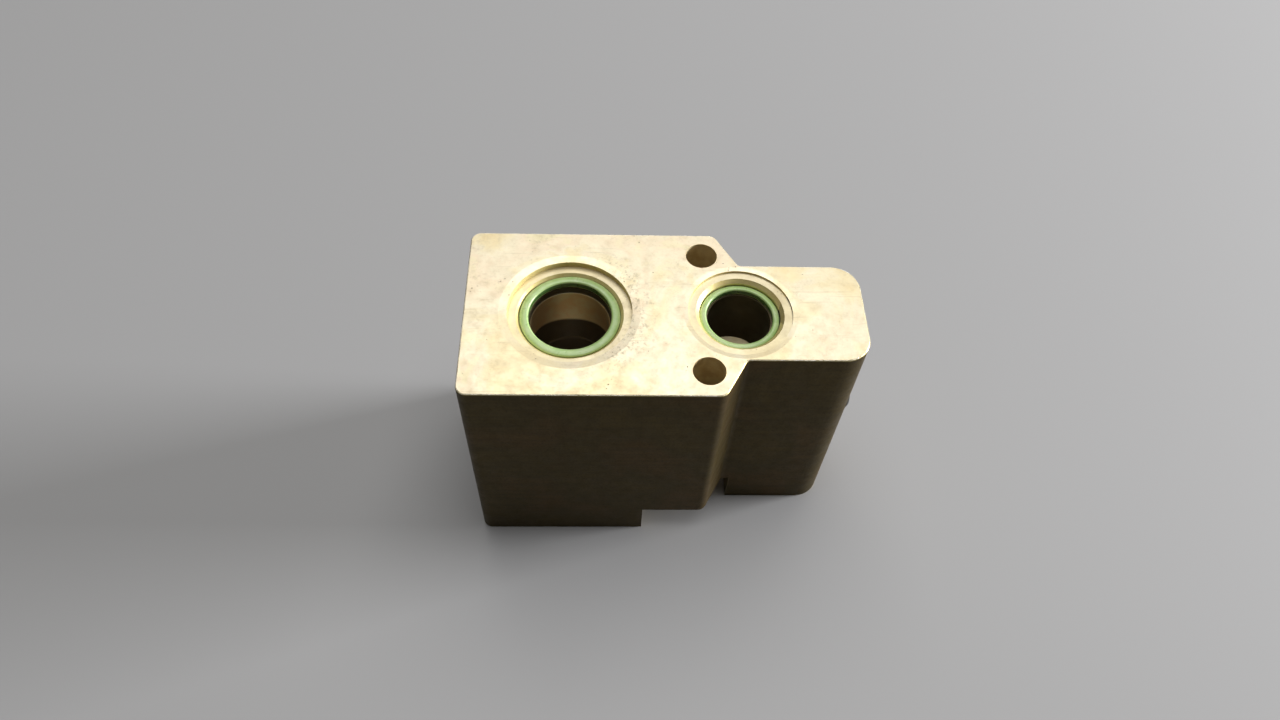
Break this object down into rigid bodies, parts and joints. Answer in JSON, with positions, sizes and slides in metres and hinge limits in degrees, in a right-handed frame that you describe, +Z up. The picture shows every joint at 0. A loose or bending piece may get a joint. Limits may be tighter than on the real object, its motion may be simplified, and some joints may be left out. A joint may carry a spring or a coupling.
{
  "type": "block-type expansion valve",
  "caption": "Stepped gold-chromated aluminium valve block with sealed ports on two faces, an inset power head, a sprung ball valve and an adjusting screw on one cross axis.",
  "frame": {"origin": "under the middle of the overall box, on the lower (hose side) face that the block stands on", "axes": "+X from the power head end to the adjusting screw end along the valve axis, +Z up through the ports to the evaporator side face, Y across"},
  "size_m": [0.0686, 0.0336, 0.0478],
  "materials": {
    "chromated_aluminium": "satin yellow chromate over machined aluminium",
    "green_rubber": "matte moulded",
    "stainless_sheet": "pressed sheet",
    "plated_steel": "zinc plated, turned",
    "plain_aluminium": "turned",
    "polished_steel": "polished",
    "spring_steel": "drawn wire",
    "phosphated_steel": "dark phosphated, turned",
    "brass": "turned"
  },
  "bodies": {
    "block": {"valve_body": "chromated_aluminium", "suction_seal_top": "green_rubber", "suction_seal_bottom": "green_rubber", "outlet_seal_top": "green_rubber", "inlet_seal_bottom": "green_rubber", "power_head_cover": "stainless_sheet", "charge_plug": "stainless_sheet", "diaphragm": "stainless_sheet", "power_head_base": "stainless_sheet", "power_head_seal": "green_rubber", "head_retaining_ring": "plated_steel", "rod_seal": "green_rubber", "rod_seal_washer": "stainless_sheet", "seat_ring": "brass", "set_spring": "spring_steel"},
    "valve_train": {"diaphragm_plate": "plain_aluminium", "sensing_rod": "plain_aluminium", "push_pin": "polished_steel", "valve_ball": "polished_steel", "ball_holder": "brass", "damping_spring": "stainless_sheet"},
    "adjuster_carriage": {"adjuster_seal": "green_rubber"},
    "adjuster": {"adjusting_screw": "phosphated_steel"}
  },
  "joints": [
    {"name": "valve_lift", "type": "slide", "parent": "block", "child": "valve_train", "axis": [1, 0, 0], "range_m": [0, 0.0007], "stiffness_N_per_m": 6000, "springref_m": -0.0035, "deforming": ["set_spring", "diaphragm"]},
    {"name": "adjuster_travel", "type": "slide", "parent": "block", "child": "adjuster_carriage", "axis": [1, 0, 0], "range_m": [-0.00075, 0.00075], "deforming": ["set_spring"]},
    {"name": "adjuster_turn", "type": "hinge", "parent": "adjuster_carriage", "child": "adjuster", "pos_m": [0.0323, 0, 0.0239], "axis": [1, 0, 0], "range_deg": [-270, 270]}
  ],
  "couplings": [
    {"joint": "adjuster_turn", "follows": "adjuster_travel", "rad_per_m": 6283.2}
  ]
}
